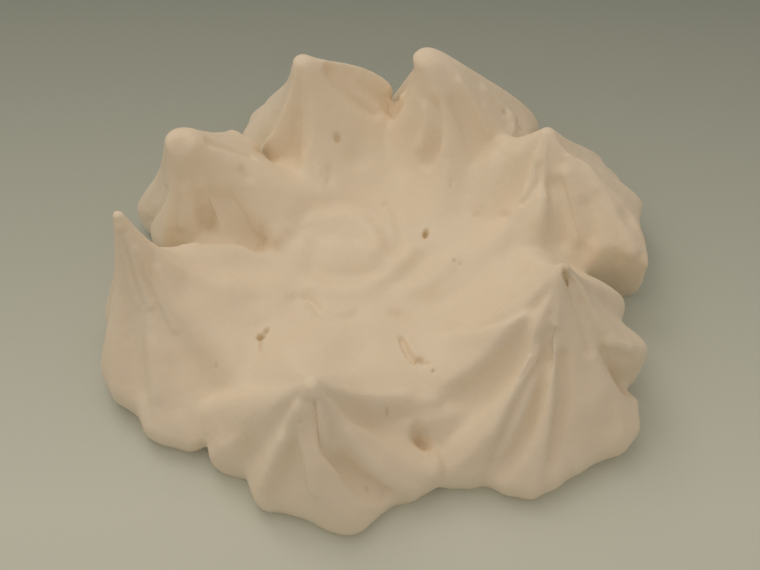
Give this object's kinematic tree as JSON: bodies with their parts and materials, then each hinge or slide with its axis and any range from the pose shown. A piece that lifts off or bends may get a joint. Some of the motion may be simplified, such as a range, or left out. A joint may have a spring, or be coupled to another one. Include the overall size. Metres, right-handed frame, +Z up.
{
  "type": "meringue nest",
  "caption": "Star-piped meringue nest: a ring of pulled rosette peaks round a shallow swirled hollow that holds cream or fruit.",
  "frame": {"origin": "middle of the flat underside, under the middle of the width and depth", "axes": "+Z up out of the hollow, -Y towards the peak that is seen at the front, +X to its right"},
  "size_m": [0.0875, 0.0891, 0.029],
  "materials": {
    "meringue": "dry matte baked sugar foam"
  },
  "bodies": {
    "root": {"meringue": "meringue"}
  },
  "joints": []
}
